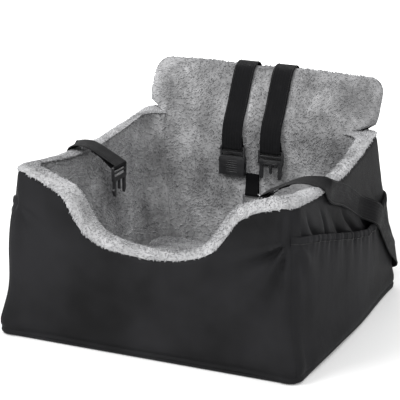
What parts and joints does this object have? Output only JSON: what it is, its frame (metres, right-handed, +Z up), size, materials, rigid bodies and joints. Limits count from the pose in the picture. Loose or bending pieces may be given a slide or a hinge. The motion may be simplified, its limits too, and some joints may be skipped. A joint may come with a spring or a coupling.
{
  "type": "dog car seat",
  "caption": "Soft open-topped pet booster seat for a car: padded plush-lined tub with a scooped front, raised back rest, lift-out cushion, side pockets, buckled straps and a tether ring.",
  "frame": {"origin": "centre of the bounding box, on the plane that the base rests on", "axes": "+Z up, +X to the right of a viewer at the scooped front, -Y out of the scooped front, +Y to the back rest"},
  "size_m": [0.5164, 0.5128, 0.3716],
  "materials": {
    "black_cloth": "smooth woven nylon with a soft sheen",
    "grey_plush": "short mottled pile",
    "foam": "open-cell foam, hidden",
    "board": "stiff board, hidden",
    "black_webbing": "ribbed webbing",
    "black_plastic": "moulded, fine texture",
    "steel": "plated, lightly worn",
    "binding": "elastic binding, ribbed"
  },
  "bodies": {
    "shell": {"back_board": "board", "back_foam": "foam", "back_liner": "grey_plush", "base_board": "board", "base_panel": "black_cloth", "floor_liner": "grey_plush", "front_foam": "foam", "front_liner": "grey_plush", "front_panel": "black_cloth", "front_rim": "grey_plush", "left_foam": "foam", "left_headrest_strap": "black_webbing", "left_liner": "grey_plush", "left_pocket": "black_cloth", "left_pocket_elastic": "binding", "left_rim": "grey_plush", "left_side_panel": "black_cloth", "left_strap": "black_webbing", "left_strap_patch": "black_webbing", "rear_panel": "black_cloth", "right_foam": "foam", "right_headrest_strap": "black_webbing", "right_liner": "grey_plush", "right_pocket": "black_cloth", "right_pocket_elastic": "binding", "right_rim": "grey_plush", "right_side_panel": "black_cloth", "right_strap": "black_webbing", "right_strap_patch": "black_webbing", "ring_tab": "black_webbing", "zip_coil": "black_plastic", "zip_tape": "black_webbing"},
    "cushion": {"seat_cushion": "grey_plush"},
    "left_buckle": {"left_plug": "black_plastic"},
    "right_buckle": {"right_socket": "black_plastic"},
    "headrest_right_buckle": {"headrest_plug": "black_plastic"},
    "headrest_left_buckle": {"headrest_socket": "black_plastic"},
    "ring": {"tether_ring": "steel"},
    "slider": {"zip_slider": "steel"},
    "pull": {"zip_pull": "steel"}
  },
  "joints": [
    {"name": "cushion_lift", "type": "slide", "parent": "shell", "child": "cushion", "axis": [0, 0, 1], "range_m": [0, 0.08]},
    {"name": "left_buckle_swing", "type": "hinge", "parent": "shell", "child": "left_buckle", "pos_m": [-0.14342, -0.05474, 0.24538], "axis": [0, -1, 0], "range_deg": [0, 75]},
    {"name": "right_buckle_swing", "type": "hinge", "parent": "shell", "child": "right_buckle", "pos_m": [0.14563, -0.1085, 0.24722], "axis": [0, 1, 0], "range_deg": [0, 75]},
    {"name": "headrest_right_buckle_swing", "type": "hinge", "parent": "shell", "child": "headrest_right_buckle", "pos_m": [0.036, 0.1705, 0.232], "axis": [-1, 0, 0], "range_deg": [0, 75]},
    {"name": "headrest_left_buckle_swing", "type": "hinge", "parent": "shell", "child": "headrest_left_buckle", "pos_m": [-0.036, 0.1705, 0.232], "axis": [-1, 0, 0], "range_deg": [0, 75]},
    {"name": "ring_swing", "type": "hinge", "parent": "shell", "child": "ring", "pos_m": [0, 0.1736, 0.15], "axis": [-1, 0, 0], "range_deg": [0, 120]},
    {"name": "zip_slide", "type": "slide", "parent": "shell", "child": "slider", "axis": [-1, 0, 0], "range_m": [0, 0.32]},
    {"name": "zip_pull_flip", "type": "hinge", "parent": "slider", "child": "pull", "pos_m": [0.1585, 0.23625, 0.095], "axis": [0, 0, 1], "range_deg": [0, 160]}
  ]
}
